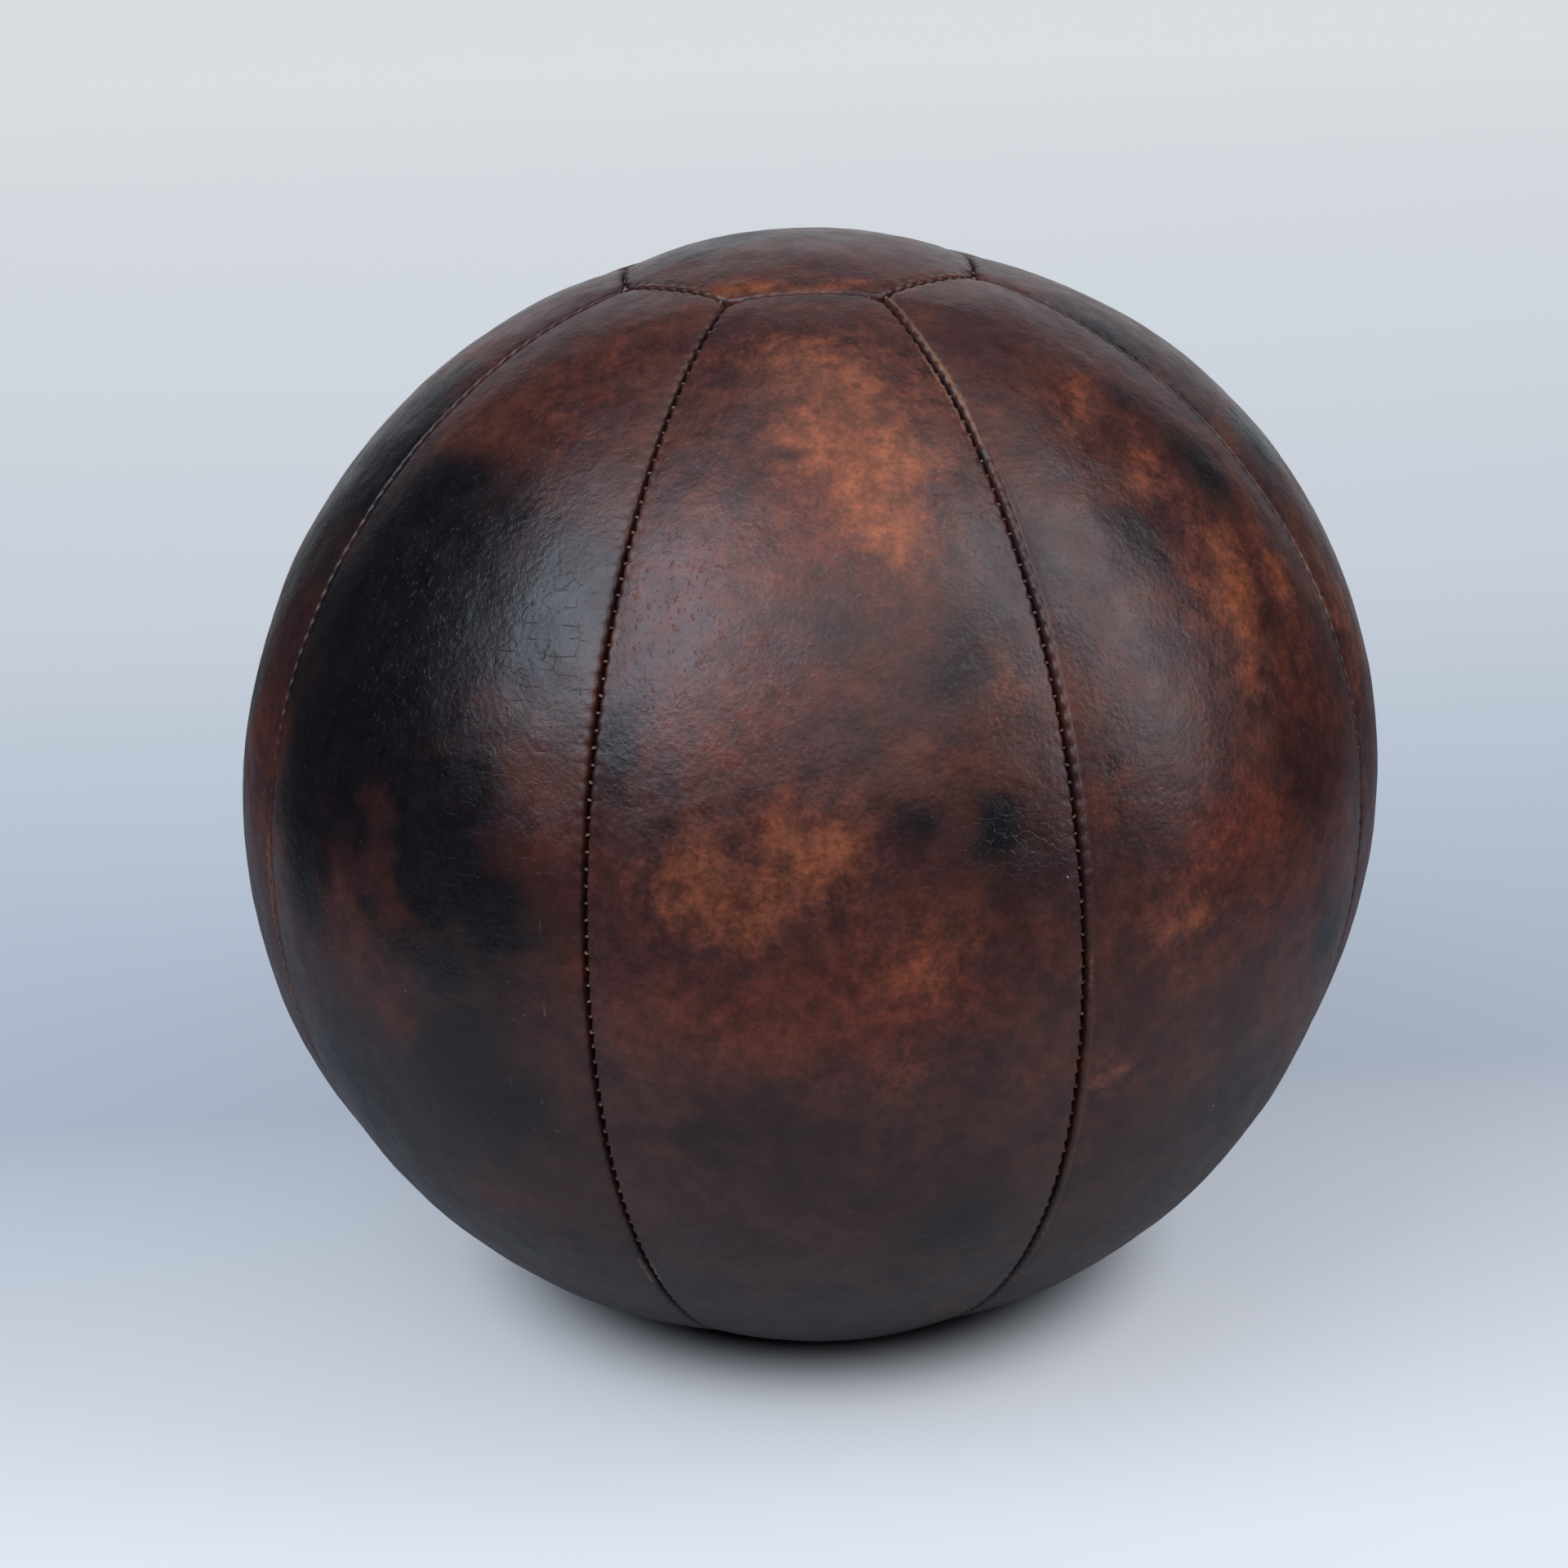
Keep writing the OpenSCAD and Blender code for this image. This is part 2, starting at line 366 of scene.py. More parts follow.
def paint(name, seed, d, u, v, edge_distance):
    """Two colour layers that the leather's material reads, each with four masks."""
    p = d * RADIUS
    warp_u = u + 4.5 * fractal(p, 20, 31, 3)
    warp_v = v + 4.5 * fractal(p, 20, 47, 3)
    tan, red, soot_and_shade = [laid_spots(spots, warp_u, warp_v) for spots in marks_of(name, seed).values()]
    ragged = 0.5 + 0.5 * fractal(p, 14, 83, 4)
    tan = np.clip(tan * (0.75 + 0.45 * ragged) + 0.12 * ramp(ragged, 0.6, 1.1), 0, 1)
    red = np.clip(red * (0.75 + 0.4 * ragged) + 0.18 * ramp(fractal(p, 26, 91, 3), 0.0, 0.8), 0, 1)
    soot_and_shade = np.clip(soot_and_shade * (0.85 + 0.25 * ragged) + 0.25 * ramp(fractal(p, 19, 57, 4), 0.2, 0.9), 0, 1)
    # painted shade: the lower half darker, and darkest underneath
    degrees_down = -np.degrees(np.arcsin(np.clip(d[:, 2], -1, 1)))
    soot_and_shade = layered(soot_and_shade, 0.55 * ramp(degrees_down, 2, 40))
    soot_and_shade = layered(soot_and_shade, 0.8 * ramp(degrees_down, 48, 68))
    worn = np.exp(-((edge_distance - 1.4) / 0.8) ** 2) * 0.8 * ramp(value_noise(p, 30, 12), 0.0, 0.9)
    if name in RUBBED:
        side, start, full, strength = RUBBED[name]
        rubbed = np.exp(-((edge_distance - 1.7) / 1.2) ** 2) * ramp(np.degrees(v / RADIUS), start, full)
        worn = layered(worn, strength * rubbed * (side * u > 0))
    # painted shade along the edge of each crease, where the leather turns in
    crease_edge_shade = np.exp(-edge_distance / 0.5)
    wrinkle = laid_spots(WRINKLES.get(name, []), warp_u, warp_v)
    fleck = laid_spots(FLECKS.get(name, []), warp_u, warp_v)
    crack = laid_spots(CRACKS.get(name, []), warp_u, warp_v)
    wrinkle = layered(wrinkle, 0.12 * ramp(value_noise(p, 38, 71), 0.25, 0.8))
    fleck = layered(fleck, 0.3 * ramp(value_noise(p, 34, 73), 0.2, 0.8))
    crack = layered(crack, 0.25 * ramp(value_noise(p, 31, 79), 0.2, 0.8))
    return {
        "stain": np.stack([tan, red, soot_and_shade, worn], axis=-1),
        "finish": np.stack([wrinkle, fleck, crease_edge_shade, crack], axis=-1),
    }


def surface_relief(d, wrinkle):
    """Small unevenness of the hide, in mm: soft lumps, and nets of creases where it has wrinkled."""
    p = d * RADIUS
    soft = 0.10 * fractal(p, 11, 3, 3) + 0.035 * fractal(p, 3.2, 29, 2)
    bent = p + 1.3 * np.stack([fractal(p, 6, 61 + k, 2) for k in range(3)], axis=-1)
    wide_net = 1 - ramp(cell_edges(bent, 5.2, 41), 0.0, 0.22)
    fine_net = 1 - ramp(cell_edges(bent, 2.6, 43), 0.0, 0.30)
    return soft - wrinkle * (0.05 * wide_net + 0.03 * fine_net)


# -------- panels
def side_angle(up, s):
    """Angle across a gore of the point s mm inside its side seam, at the angle up."""
    a = np.cos(up) * math.sin(HALF_GORE)
    b = math.cos(HALF_GORE)
    return np.arccos(np.sin(s / RADIUS) / np.hypot(a, b)) - np.arctan2(b, a)


def end_angle(across, s):
    """Angle up a gore of the point s mm inside the cap's seam, at the angle across."""
    return GORE_END - np.arcsin(np.sin(s / RADIUS) / np.cos(across))


def gore_direction(up, across):
    """Unit directions in a gore's own axes: outwards, across it, and up."""
    return np.stack([np.cos(across) * np.cos(up), np.sin(across), np.cos(across) * np.sin(up)], axis=-1)


def gore_seams(d, bead):
    """For each seam round a gore: distance from it, place along it, distance to its nearest end, and bead."""
    x, y, z = d[..., 0], d[..., 1], d[..., 2]
    seams = []
    for side in (-1, 1):
        s = RADIUS * np.arcsin(x * math.sin(HALF_GORE) - side * y * math.cos(HALF_GORE))
        along = RADIUS * np.arctan2(z, x * math.cos(HALF_GORE) + side * y * math.sin(HALF_GORE))
        seams.append((s, along, RADIUS * CORNER_UP - np.abs(along), bead if side < 0 else 0.0))
    for end in (-1, 1):
        s = RADIUS * np.arcsin(x * math.cos(CAP_SIDE) - end * z * math.sin(CAP_SIDE))
        along = RADIUS * np.arcsin(y)
        seams.append((s, along, CAP_HALF_SIDE - np.abs(along), 0.0))
    return seams


def cap_seams(d):
    """The same for the eight seams round a cap, in the cap's own axes, with the ball's pole up."""
    seams = []
    for k in range(GORES):
        turn = FIRST_GORE + k * GORE_TURN
        radial = d[..., 0] * math.cos(turn) + d[..., 1] * math.sin(turn)
        tangent = -d[..., 0] * math.sin(turn) + d[..., 1] * math.cos(turn)
        s = RADIUS * np.arcsin(d[..., 2] * math.sin(CAP_SIDE) - radial * math.cos(CAP_SIDE))
        along = RADIUS * np.arcsin(tangent)
        seams.append((s, along, CAP_HALF_SIDE - np.abs(along), 0.35))
    return seams


def edge_gap(along, corner, straight):
    """How far a panel's edge stands from the seam: the open crease's half width, or the number straight."""
    if straight is None:
        return crease_half_width(along, corner)
    return np.full(np.shape(along), straight)


def gore_grid(straight=None):
    """Angles up and across of a gore's mesh points, row by row from the bottom."""
    columns = MIDDLE_COLUMNS + 2 * len(EDGE_STEPS) - 1
    near = EDGE_STEPS / RADIUS
    middle = np.linspace(GORE_END - near[-1], -GORE_END + near[-1], MIDDLE_ROWS + 1)[1:-1]
    nominal = np.concatenate([-(GORE_END - near), middle[::-1], (GORE_END - near)[::-1]])
    across = np.zeros((len(nominal), columns))
    up = np.repeat(nominal[:, None], columns, axis=1)
    for _ in range(2):
        edge = side_angle(up, np.zeros(1))
        along = RADIUS * np.arctan2(np.sin(up) * np.cos(edge),
                                    np.cos(up) * np.cos(edge) * math.cos(HALF_GORE)
                                    + np.sin(edge) * math.sin(HALF_GORE))
        side_gap = edge_gap(along, RADIUS * CORNER_UP - np.abs(along), straight)
        for k, step in enumerate(EDGE_STEPS):
            angle = side_angle(up, side_gap + step)
            across[:, k] = -angle[:, k]
            across[:, -1 - k] = angle[:, -1 - k]
        first = across[:, len(EDGE_STEPS) - 1]
        last = across[:, -len(EDGE_STEPS)]
        share = np.linspace(0, 1, MIDDLE_COLUMNS + 1)[1:-1]
        across[:, len(EDGE_STEPS):-len(EDGE_STEPS)] = first[:, None] + (last - first)[:, None] * share
        end_along = RADIUS * across
        end_gap = edge_gap(end_along, CAP_HALF_SIDE - np.abs(end_along), straight)
        for k, step in enumerate(EDGE_STEPS):
            angle = end_angle(across, end_gap + step)
            up[k] = -angle[k]
            up[-1 - k] = angle[-1 - k]
        low, high = up[len(EDGE_STEPS) - 1], up[-len(EDGE_STEPS)]
        share = np.linspace(0, 1, MIDDLE_ROWS + 1)[1:-1]
        up[len(EDGE_STEPS):-len(EDGE_STEPS)] = low + (high - low) * share[:, None]
    return up, across


def boundary(rows, columns):
    """Indices of a grid's outline, counter-clockwise seen from outside the ball."""
    index = np.arange(rows * columns).reshape(rows, columns)
    return np.concatenate([index[0, :-1], index[:-1, -1], index[-1, :0:-1], index[:0:-1, 0]])


def cap_directions(turn, rho):
    """Unit directions from turns about the axis and angles away from it."""
    return np.stack([np.sin(rho) * np.cos(turn), np.sin(rho) * np.sin(turn), np.cos(rho)], axis=-1)


def cap_ring(distance, straight=None):
    """Turns and angles of a closed ring of points on a cap, at a distance from the edges of its creases."""
    turn = FIRST_GORE - HALF_GORE + 2 * math.pi * np.arange(CAP_SAMPLES) / CAP_SAMPLES
    local = (turn - FIRST_GORE + HALF_GORE) % GORE_TURN - HALF_GORE
    along = RADIUS * math.sin(CAP_SIDE) * np.tan(local)
    gap = edge_gap(along, CAP_HALF_SIDE - np.abs(along), straight)
    a = math.sin(CAP_SIDE)
    b = math.cos(CAP_SIDE) * np.cos(local)
    rho = np.arccos(np.sin((gap + distance) / RADIUS) / np.hypot(a, b)) - np.arctan2(b, a)
    return turn, rho


def soft_floor(height, lowest):
    """Heights in mm above the floor, flattened where the ball rests on it."""
    h = height - lowest
    return lowest + 0.5 * (h + np.sqrt(h * h + FLOOR_SOFTNESS ** 2))


def placed(d, radius, lowest, turn, flip):
    """Points at a radius in the directions d, in metres, on the panel's place and rested on the floor."""
    p = world_direction(d, turn, flip) * np.reshape(radius, (-1, 1))
    p[:, 2] = soft_floor(p[:, 2] + CENTRE_Z, lowest)
    return p * MM


def world_direction(d, turn, flip):
    """Directions turned about the upright axis, or turned over for the bottom cap."""
    if flip:
        return d * np.array([1, -1, -1])
    c, s = math.cos(turn), math.sin(turn)
    return np.stack([d[:, 0] * c - d[:, 1] * s, d[:, 0] * s + d[:, 1] * c, d[:, 2]], axis=-1)


def strip(upper, lower):
    """Faces between two closed loops of the same length."""
    after_upper, after_lower = np.roll(upper, -1), np.roll(lower, -1)
    return np.stack([upper, lower, after_lower, after_upper], axis=-1).tolist()


def fan_strip(fine, coarse):
    """Faces between a fine loop and one with a point for every COARSE of its points."""
    faces = []
    count = len(coarse)
    for k in range(count):
        nxt = (k + 1) % count
        ends = [int(fine[(k * COARSE + j) % len(fine)]) for j in range(COARSE, 0, -1)]
        faces.append([int(fine[k * COARSE]), int(coarse[k]), int(coarse[nxt])] + ends)
    return faces


def grid_faces(index, inward=False):
    """Faces of a grid of points, seen from outside the ball or from inside it."""
    a, b, c, e = index[:-1, :-1], index[:-1, 1:], index[1:, 1:], index[1:, :-1]
    order = [a, e, c, b] if inward else [a, b, c, e]
    return np.stack([o.ravel() for o in order], axis=-1).tolist()


def edge_faces(rim, count, coarse_rim):
    """Faces of a turned-in edge, from a face's rim to the inner side's. Its points follow count others."""
    throat = count + np.arange(len(rim))
    lip = throat + len(rim)
    inner_lip = lip + len(rim)
    return strip(rim, throat) + strip(throat, lip) + strip(lip, inner_lip) + fan_strip(inner_lip, coarse_rim)


def build_mesh(name, points, faces, layers=None):
    """A smooth-shaded mesh object, with colour layers for its first points."""
    mesh = bpy.data.meshes.new(name)
    mesh.from_pydata(points, [], faces)
    mesh.shade_smooth()
    for layer, values in (layers or {}).items():
        colours = np.zeros((len(points), 4), np.float32)
        colours[:len(values)] = values
        attribute = mesh.color_attributes.new(layer, "FLOAT_COLOR", "POINT")
        attribute.data.foreach_set("color", colours.ravel())
    obj = bpy.data.objects.new(name, mesh)
    bpy.context.scene.collection.objects.link(obj)
    return obj


def face_radius(d, seams, world, masks):
    """Distance of the leather's face from the ball's middle."""
    dip = sum(seam_dip(s, along, corner, bead) for s, along, corner, bead in seams)
    nearest = np.min([s for s, _, _, _ in seams], axis=0)
    crown = CROWN * (1 - np.exp(-(np.maximum(nearest, 0) / 17) ** 2))
    calm = ramp(nearest, 0.6, 3.0)
    relief = surface_relief(world, masks["finish"][:, 0]) * calm
    return RADIUS + shape_height(world) + crown - dip + relief


def wall_loops(outer, inner, turn, flip, rim_radius):
    """Points of a panel's turned-in edge: just under the crease, at its outer end and at its inner end."""
    throat = np.minimum(rim_radius - THROAT_DROP, RADIUS - THROAT_DEPTH)
    return [
        placed(outer, throat, LEATHER_UNDERSIDE, turn, flip),
        placed(outer, RADIUS - FLANGE_DEPTH, LEATHER_UNDERSIDE, turn, flip),
        placed(inner, RADIUS - FLANGE_DEPTH, LEATHER_UNDERSIDE, turn, flip),
    ]


gore_up, gore_across = gore_grid()
ROWS, COLUMNS = gore_up.shape
gore_points = gore_direction(gore_up, gore_across).reshape(-1, 3)
outline = boundary(ROWS, COLUMNS)
straight_edge = gore_direction(*gore_grid(FLANGE_GAP)).reshape(-1, 3)[outline]
inner_grid = gore_direction(*gore_grid(FLANGE_INNER))
inner_edge = inner_grid.reshape(-1, 3)[outline]
coarse_grid = inner_grid[::COARSE, ::COARSE]
coarse_rows, coarse_columns = coarse_grid.shape[:2]
coarse_points = coarse_grid.reshape(-1, 3)
coarse_outline = boundary(coarse_rows, coarse_columns)


def make_gore(i):
    """Leather gore i, a closed shell with its edges turned inwards."""
    name = f"gore_panel_{i}"
    turn = FIRST_GORE + (i - 1) * GORE_TURN
    seams = gore_seams(gore_points, EVEN_BEAD if i % 2 == 0 else ODD_BEAD)
    nearest = np.min([s for s, _, _, _ in seams], axis=0)
    world = world_direction(gore_points, turn, False)
    u = RADIUS * gore_across.ravel()
    v = RADIUS * gore_up.ravel()
    masks = paint(name, 100 + i, world, u, v, nearest)
    radius = face_radius(gore_points, seams, world, masks)
    face = placed(gore_points, radius, 0.0, turn, False)
    loops = wall_loops(straight_edge, inner_edge, turn, False, radius[outline])
    shell = placed(coarse_points, RADIUS - LEATHER_UNDERSIDE, LEATHER_UNDERSIDE, turn, False)
    count = len(face)
    shell_index = count + len(loops) * len(outline) + np.arange(len(coarse_points))
    faces = grid_faces(np.arange(count).reshape(ROWS, COLUMNS))
    faces += edge_faces(outline, count, shell_index[coarse_outline])
    faces += grid_faces(shell_index.reshape(coarse_rows, coarse_columns), inward=True)
    points = np.concatenate([face, *loops, shell])
    return build_mesh("leather_" + name, points, faces, masks)


def make_cap(name, flip):
    """A leather cap, eight-sided, with its edges turned inwards."""
    rings = [cap_ring(step) for step in EDGE_STEPS]
    turn, last_rho = rings[-1]
    inner = np.linspace(1, 0, CAP_RINGS + 1)[1:-1]
    rings += [(turn, last_rho * share) for share in inner]
    d = np.concatenate([cap_directions(*ring) for ring in rings] + [np.array([[0.0, 0.0, 1.0]])])
    seams = cap_seams(d)
    nearest = np.min([s for s, _, _, _ in seams], axis=0)
    world = world_direction(d, 0.0, flip)
    rho = np.arccos(np.clip(d[:, 2], -1, 1))
    flat = np.maximum(np.hypot(d[:, 0], d[:, 1]), 1e-9)
    u = RADIUS * rho * d[:, 0] / flat
    v = RADIUS * rho * d[:, 1] / flat
    masks = paint(name, 200 + flip, world, u, v, nearest)
    radius = face_radius(d, seams, world, masks)
    face = placed(d, radius, 0.0, 0.0, flip)
    outer = cap_directions(*cap_ring(0.0, FLANGE_GAP))
    inner_edge = cap_directions(*cap_ring(0.0, FLANGE_INNER))
    coarse_turn, coarse_rho = (values[::COARSE] for values in cap_ring(0.0, FLANGE_INNER))
    coarse_rings = [cap_directions(coarse_turn, coarse_rho * share)
                    for share in np.linspace(1, 0, CAP_SHELL_RINGS + 1)[:-1]]
    coarse = np.concatenate(coarse_rings + [np.array([[0.0, 0.0, 1.0]])])
    loops = wall_loops(outer, inner_edge, 0.0, flip, radius[:CAP_SAMPLES])
    shell = placed(coarse, RADIUS - LEATHER_UNDERSIDE, LEATHER_UNDERSIDE, 0.0, flip)
    count = len(face)
    rim = np.arange(CAP_SAMPLES)
    shell_start = count + len(loops) * CAP_SAMPLES
    faces = []
    for k in range(len(rings) - 1):
        start = rim + k * CAP_SAMPLES
        faces += strip(start + CAP_SAMPLES, start)
    last = rim + (len(rings) - 1) * CAP_SAMPLES
    faces += [[int(a), int(b), count - 1] for a, b in zip(last, np.roll(last, -1))]
    coarse_rim = shell_start + np.arange(CAP_SAMPLES // COARSE)
    faces += edge_faces(rim, count, coarse_rim)
    for k in range(CAP_SHELL_RINGS - 1):
        start = coarse_rim + k * len(coarse_rim)
        faces += strip(start, start + len(coarse_rim))
    last = coarse_rim + (CAP_SHELL_RINGS - 1) * len(coarse_rim)
    centre = shell_start + len(coarse) - 1
    faces += [[int(b), int(a), centre] for a, b in zip(last, np.roll(last, -1))]
    points = np.concatenate([face, *loops, shell])
    return build_mesh("leather_" + name, points, faces, masks)


# -------- stitches
THREAD_RADIUS = 0.34
THREAD_SIDES = 6
THREAD_STEPS = 7
# depth of a stitch below the ball's face in its middle and at its ends, and half of its width
THREAD_TOP = 1.85
THREAD_END = 5.0
THREAD_REACH = 0.85
# how far stitches lean along the seam and differ in height
THREAD_LEAN = 0.35
THREAD_RISE = 0.22
# the stitches of a seam stop this far short of its ends
SEAM_MARGIN = 2.0


def stitch_points(middle, across_way, slant_way, k):
    """One stitch as a small closed tube, arched over the crease from one panel into the other."""
    lean = THREAD_LEAN * math.sin(5.1 * k)
    rise = THREAD_RISE * math.sin(3.7 * k)
    surface = RADIUS + shape_height(middle[None])[0]
    spine = []
    for step in range(THREAD_STEPS):
        w = -1 + 2 * step / (THREAD_STEPS - 1)
        depth = THREAD_TOP - rise + (THREAD_END - THREAD_TOP) * abs(w) ** 3
        spine.append(middle * (surface - depth) + across_way * (THREAD_REACH * w) + slant_way * (lean * w))
    spine = np.array(spine)
    tangent = np.gradient(spine, axis=0)
    tangent /= np.linalg.norm(tangent, axis=1)[:, None]
    first = np.cross(tangent, slant_way)
    first /= np.linalg.norm(first, axis=1)[:, None]
    second = np.cross(tangent, first)
    angles = 2 * math.pi * np.arange(THREAD_SIDES) / THREAD_SIDES
    ring = first[:, None] * np.cos(angles)[:, None] + second[:, None] * np.sin(angles)[:, None]
    return (spine[:, None] + THREAD_RADIUS * ring).reshape(-1, 3)


def tube_faces(start):
    """Faces of one stitch, whose points begin at the index start."""
    faces = []
    for step in range(THREAD_STEPS - 1):
        for side in range(THREAD_SIDES):
            nxt = (side + 1) % THREAD_SIDES
            a = start + step * THREAD_SIDES
            faces.append([a + side, a + nxt, a + THREAD_SIDES + nxt, a + THREAD_SIDES + side])
    end = start + (THREAD_STEPS - 1) * THREAD_SIDES
    faces.append([start + side for side in reversed(range(THREAD_SIDES))])
    faces.append([end + side for side in range(THREAD_SIDES)])
    return faces


def make_stitches(name, runs):
    """The stitches of some seams as one piece. A run is a seam's middle, way along and half length."""
    points, faces = [], []
    for middle, way, half_length in runs:
        across_way = np.cross(way, middle)
        reach = int(half_length / STITCH_PITCH)
        for k in range(-reach, reach + 1):
            turn = k * STITCH_PITCH / RADIUS
            out_way = middle * math.cos(turn) + way * math.sin(turn)
            slant_way = way * math.cos(turn) - middle * math.sin(turn)
            faces += tube_faces(len(points) * THREAD_STEPS * THREAD_SIDES)
            points.append(stitch_points(out_way, across_way, slant_way, k))
    points = np.concatenate(points)
    points[:, 2] += CENTRE_Z
    return build_mesh(name, points * MM, faces)


def seam_runs_of_cap(end):
    """The runs of stitches round a cap. The top's end is 1 and the bottom's is -1."""
    runs = []
    for k in range(GORES):
        turn = FIRST_GORE + k * GORE_TURN
        radial = np.array([math.cos(turn), math.sin(turn), 0.0])
        middle = radial * math.sin(CAP_SIDE) + np.array([0, 0, end * math.cos(CAP_SIDE)])
        runs.append((middle, np.array([-math.sin(turn), math.cos(turn), 0.0]), CAP_HALF_SIDE - SEAM_MARGIN))
    return runs


# -------- materials
class Nodes:
    """A short way to wire a material or the world."""

    def __init__(self, owner, coords="Object"):
        owner.use_nodes = True
        self.owner = owner
        self.tree = owner.node_tree
        self.shader = self.tree.nodes.get("Principled BSDF")
        self.coords = self.tree.nodes.new("ShaderNodeTexCoord").outputs[coords]

    def put(self, socket, value):
        if isinstance(value, bpy.types.NodeSocket):
            self.tree.links.new(value, socket)
        else:
            socket.default_value = value

    def stretched(self, scale, turn=(0, 0, 0)):
        node = self.tree.nodes.new("ShaderNodeMapping")
        node.inputs["Scale"].default_value = scale
        node.inputs["Rotation"].default_value = turn
        self.put(node.inputs["Vector"], self.coords)
        return node.outputs["Vector"]

    def texture(self, kind, vector=None, **values):
        node = self.tree.nodes.new("ShaderNodeTex" + kind)
        for key, value in values.items():
            node.inputs[key].default_value = value
        self.put(node.inputs["Vector"], vector or self.coords)
        return node

    def noise(self, scale, detail=4.0, roughness=0.55, vector=None, distortion=0.0):
        return self.texture("Noise", vector, Scale=scale, Detail=detail, Roughness=roughness,
                            Distortion=distortion).outputs["Fac"]

    def cells(self, scale, feature="F1", vector=None, randomness=1.0):
        node = self.texture("Voronoi", vector, Scale=scale, Randomness=randomness)
        node.feature = feature
        return node

    def math(self, operation, a, b=0.0, c=0.0, clamp=False):
        node = self.tree.nodes.new("ShaderNodeMath")
        node.operation = operation
        node.use_clamp = clamp
        for socket, value in zip(node.inputs, (a, b, c)):
            self.put(socket, value)
        return node.outputs[0]

    def times(self, a, b):
        return self.math("MULTIPLY", a, b)

    def vector(self, operation, *values):
        node = self.tree.nodes.new("ShaderNodeVectorMath")
        node.operation = operation
        for socket, value in zip(node.inputs, values):
            self.put(socket, value)
        return node.outputs["Value" if operation in ("LENGTH", "DOT_PRODUCT") else "Vector"]

    def ramp(self, value, low, high, to_low=0.0, to_high=1.0, smooth=True):
        node = self.tree.nodes.new("ShaderNodeMapRange")
        node.interpolation_type = "SMOOTHSTEP" if smooth else "LINEAR"
        for key, number in (("From Min", low), ("From Max", high), ("To Min", to_low), ("To Max", to_high)):
            node.inputs[key].default_value = number
        self.put(node.inputs["Value"], value)
        return node.outputs["Result"]

    def mix(self, factor, a, b, blend="MIX"):
        node = self.tree.nodes.new("ShaderNodeMix")
        node.data_type = "RGBA"
        node.blend_type = blend
        self.put(node.inputs["Factor"], factor)
        for socket, value in ((node.inputs[6], a), (node.inputs[7], b)):
            self.put(socket, (*value, 1.0) if isinstance(value, tuple) and len(value) == 3 else value)
        return node.outputs[2]

    def channels(self, colour):
        node = self.tree.nodes.new("ShaderNodeSeparateColor")
        self.put(node.inputs[0], colour)
        return node.outputs

    def layer(self, name):
        """The four channels of a mesh's colour layer."""
        node = self.tree.nodes.new("ShaderNodeAttribute")
        node.attribute_name = name
        return [*self.channels(node.outputs["Color"]), node.outputs["Alpha"]]

    def bump(self, height, distance, strength=1.0, under=None):
        node = self.tree.nodes.new("ShaderNodeBump")
        node.inputs["Distance"].default_value = distance
        node.inputs["Strength"].default_value = strength
        self.put(node.inputs["Height"], height)
        if under is not None:
            self.put(node.inputs["Normal"], under)
        return node.outputs["Normal"]

    def finish(self, colour, roughness, normal=None, **fixed):
        self.put(self.shader.inputs["Base Color"], colour)
        self.put(self.shader.inputs["Roughness"], roughness)
        if normal is not None:
            self.put(self.shader.inputs["Normal"], normal)
        for key, value in fixed.items():
            self.shader.inputs[key.replace("_", " ")].default_value = value
        return self.owner


PLUM = (0.040, 0.012, 0.013)
BROWN = (0.075, 0.021, 0.013)
RED = (0.145, 0.026, 0.013)
TAN = (0.300, 0.080, 0.032)
PALE_TAN = (0.30, 0.15, 0.095)
# black for soot stains, and for painted shade on the leather and painted shadow on the paper
SOOT_AND_SHADE_BLACK = (0.0035, 0.0035, 0.0055)
DUST = (0.62, 0.58, 0.54)
THREAD_DARK, THREAD_LIGHT, THREAD_DIRT = (0.13, 0.08, 0.06), (0.27, 0.19, 0.14), (0.05, 0.028, 0.022)

# features per metre of the leather's patterns, from large to small
CLOUDS, MOTTLES, GRAINS, SPECKLES, PORES = 55, 210, 620, 760, 1500
# heights of the leather's bumps, in metres
GRAIN_HEIGHT = 0.00010
SPECKLE_HEIGHT = 0.00022
CHIP_HEIGHT = 0.00020
CREASE_HEIGHT = 0.00007
CRACK_HEIGHT = 0.00008
SCRATCH_HEIGHT = 0.00008
# stretch and turn of each set of scratches, and how strong its noise is where a scratch shows
SCRATCHES = (
    ((40, 900, 900), (0.3, 0.9, 0.2), 0.735),
    ((820, 50, 820), (0.5, 0.2, 0.9), 0.745),
    ((700, 700, 45), (0.4, 0.5, 0.1), 0.74),
)


